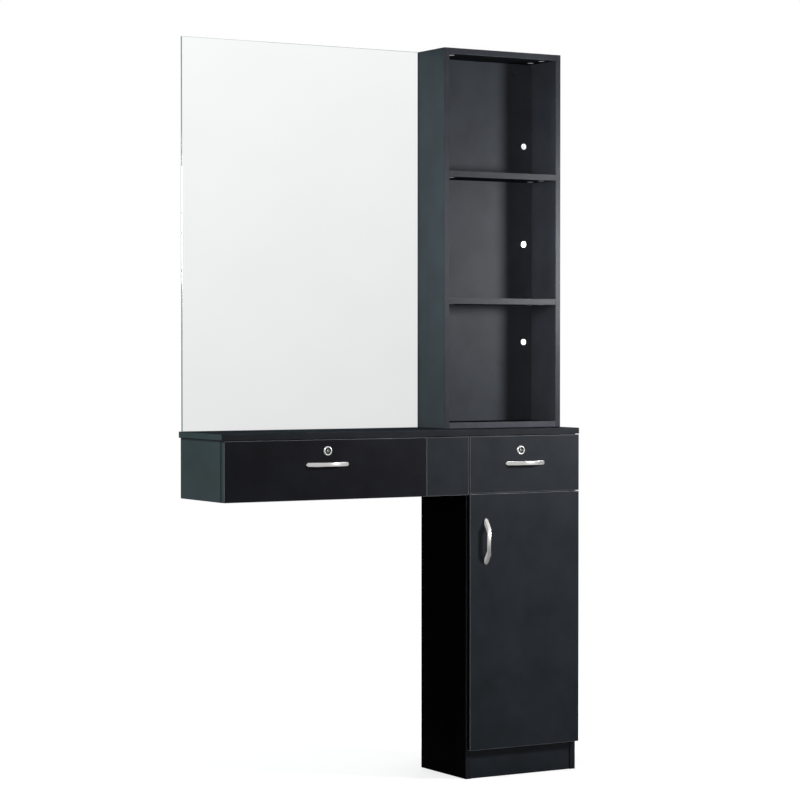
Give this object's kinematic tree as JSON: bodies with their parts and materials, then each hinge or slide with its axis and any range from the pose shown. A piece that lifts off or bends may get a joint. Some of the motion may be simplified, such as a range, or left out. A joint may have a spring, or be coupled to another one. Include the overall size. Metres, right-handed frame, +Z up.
{
  "type": "salon styling station",
  "caption": "Wall-fixed single-sided styling station: counter with a lockable drawer, cabinet with drawer and door, open shelf tower and wall mirror.",
  "frame": {"origin": "floor level, under the middle of the bounding box", "axes": "+X to the right end with the tower, +Y towards the wall, +Z up; the drawers open towards -Y"},
  "size_m": [1, 0.248, 1.8],
  "materials": {
    "black_melamine": "satin black melamine",
    "front_melamine": "satin black melamine with edge banding",
    "drawer_board": "matt dark grey board",
    "silvered_glass": "polished",
    "satin_nickel": "satin nickel plating",
    "lock_plug_metal": "plain zinc",
    "cast_zinc": "die-cast zinc",
    "plated_steel": "zinc plated",
    "slide_steel": "zinc plated strip",
    "hinge_steel": "nickel plated"
  },
  "bodies": {
    "station": {"tower_left_side": "black_melamine", "tower_right_side": "black_melamine", "tower_top": "black_melamine", "tower_upper_shelf": "black_melamine", "tower_lower_shelf": "black_melamine", "tower_bottom": "black_melamine", "tower_back": "black_melamine", "tower_rail": "black_melamine", "counter_top": "black_melamine", "desk_left_side": "black_melamine", "desk_divider": "black_melamine", "desk_bottom": "black_melamine", "desk_back": "black_melamine", "cabinet_left_side": "black_melamine", "cabinet_right_side": "black_melamine", "cabinet_bottom": "black_melamine", "drawer_divider": "black_melamine", "cabinet_shelf": "black_melamine", "plinth": "black_melamine", "filler_panel": "front_melamine", "mirror_glass": "silvered_glass", "mirror_backing": "drawer_board", "cabinet_back": "drawer_board", "shelf_pins": "plated_steel", "cam_locks": "cast_zinc", "cam_bolts": "plated_steel", "tower_screws": "plated_steel", "desk_slide_outer": "slide_steel", "cabinet_slide_outer": "slide_steel", "hinge_arms": "hinge_steel", "lock_strikes": "plated_steel"},
    "desk_drawer": {"desk_drawer_front": "front_melamine", "desk_drawer_left_side": "drawer_board", "desk_drawer_right_side": "drawer_board", "desk_drawer_back": "drawer_board", "desk_drawer_bottom": "drawer_board", "desk_drawer_pull": "satin_nickel", "desk_slide_inner": "slide_steel", "desk_pull_screws": "plated_steel", "desk_lock_case": "satin_nickel"},
    "desk_slide": {"desk_slide_middle": "slide_steel"},
    "desk_lock": {"desk_lock_plug": "lock_plug_metal", "desk_lock_cam": "plated_steel"},
    "cabinet_drawer": {"cabinet_drawer_front": "front_melamine", "cabinet_drawer_left_side": "drawer_board", "cabinet_drawer_right_side": "drawer_board", "cabinet_drawer_back": "drawer_board", "cabinet_drawer_bottom": "drawer_board", "cabinet_drawer_pull": "satin_nickel", "cabinet_slide_inner": "slide_steel", "cabinet_pull_screws": "plated_steel", "cabinet_lock_case": "satin_nickel"},
    "cabinet_slide": {"cabinet_slide_middle": "slide_steel"},
    "cabinet_lock": {"cabinet_lock_plug": "lock_plug_metal", "cabinet_lock_cam": "plated_steel"},
    "door": {"cabinet_door": "front_melamine", "door_pull": "satin_nickel", "door_pull_screws": "plated_steel", "hinge_cups": "hinge_steel"},
    "door_links": {"hinge_links": "hinge_steel"}
  },
  "joints": [
    {"name": "desk_drawer_slide", "type": "slide", "parent": "station", "child": "desk_drawer", "axis": [0, -1, 0], "range_m": [0, 0.15]},
    {"name": "desk_middle_slide", "type": "slide", "parent": "station", "child": "desk_slide", "axis": [0, -1, 0], "range_m": [0, 0.075]},
    {"name": "cabinet_drawer_slide", "type": "slide", "parent": "station", "child": "cabinet_drawer", "axis": [0, -1, 0], "range_m": [0, 0.15]},
    {"name": "cabinet_middle_slide", "type": "slide", "parent": "station", "child": "cabinet_slide", "axis": [0, -1, 0], "range_m": [0, 0.075]},
    {"name": "door_hinge", "type": "hinge", "parent": "station", "child": "door", "pos_m": [0.495, -0.098, 0.38675], "axis": [0, 0, 1], "range_deg": [0, 95]},
    {"name": "door_link_hinge", "type": "hinge", "parent": "station", "child": "door_links", "pos_m": [0.48, -0.09, 0.38675], "axis": [0, 0, 1], "range_deg": [0, 80]},
    {"name": "desk_lock_turn", "type": "hinge", "parent": "desk_drawer", "child": "desk_lock", "pos_m": [-0.2205, -0.106, 0.816], "axis": [0, -1, 0], "range_deg": [0, 90]},
    {"name": "cabinet_lock_turn", "type": "hinge", "parent": "cabinet_drawer", "child": "cabinet_lock", "pos_m": [0.325, -0.106, 0.807], "axis": [0, -1, 0], "range_deg": [0, 90]}
  ],
  "couplings": [
    {"joint": "desk_middle_slide", "follows": "desk_drawer_slide", "ratio": 0.5},
    {"joint": "cabinet_middle_slide", "follows": "cabinet_drawer_slide", "ratio": 0.5},
    {"joint": "door_link_hinge", "follows": "door_hinge", "ratio": 0.84}
  ]
}
